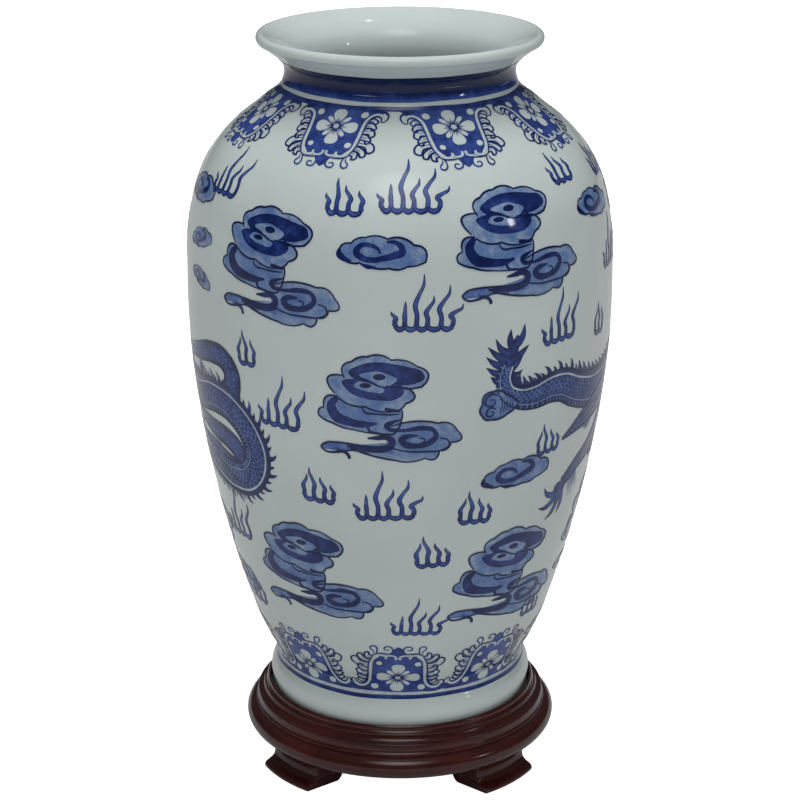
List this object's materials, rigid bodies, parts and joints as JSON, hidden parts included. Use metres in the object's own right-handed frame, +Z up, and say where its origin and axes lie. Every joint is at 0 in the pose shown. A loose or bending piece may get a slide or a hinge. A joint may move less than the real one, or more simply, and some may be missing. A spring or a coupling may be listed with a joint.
{
  "type": "porcelain vase on wooden stand",
  "caption": "Baluster vase of blue-and-white glazed porcelain with a flared lip, standing loose on a turned dark hardwood stand with bracket feet.",
  "frame": {"origin": "on the table, under the centre of the vase and stand", "axes": "+Z up along the axis the vase and stand were turned on; the front faces -Y; +X is to the right seen from the front"},
  "size_m": [0.22, 0.22, 0.395],
  "materials": {
    "porcelain": "gloss",
    "lacquered_wood": "satin",
    "bare_wood": "matte",
    "felt": "matte",
    "screw_steel": "satin"
  },
  "bodies": {
    "stand": {"stand_ring": "lacquered_wood", "floor_panel": "lacquered_wood", "foot_front_left": "lacquered_wood", "foot_front_right": "lacquered_wood", "foot_back_left": "lacquered_wood", "foot_back_right": "lacquered_wood", "foot_screws": "screw_steel", "foot_dowels": "bare_wood", "pad_front_left": "felt", "pad_front_right": "felt", "pad_back_left": "felt", "pad_back_right": "felt"},
    "mat": {"felt_mat": "felt"},
    "vase": {"vase": "porcelain"}
  },
  "joints": [
    {"name": "vase_turn", "type": "hinge", "parent": "stand", "child": "mat", "pos_m": [0, 0, 0.0382], "axis": [0, 0, 1], "continuous": true},
    {"name": "vase_lift", "type": "slide", "parent": "mat", "child": "vase", "axis": [0, 0, 1], "range_m": [0, 0.12]}
  ]
}
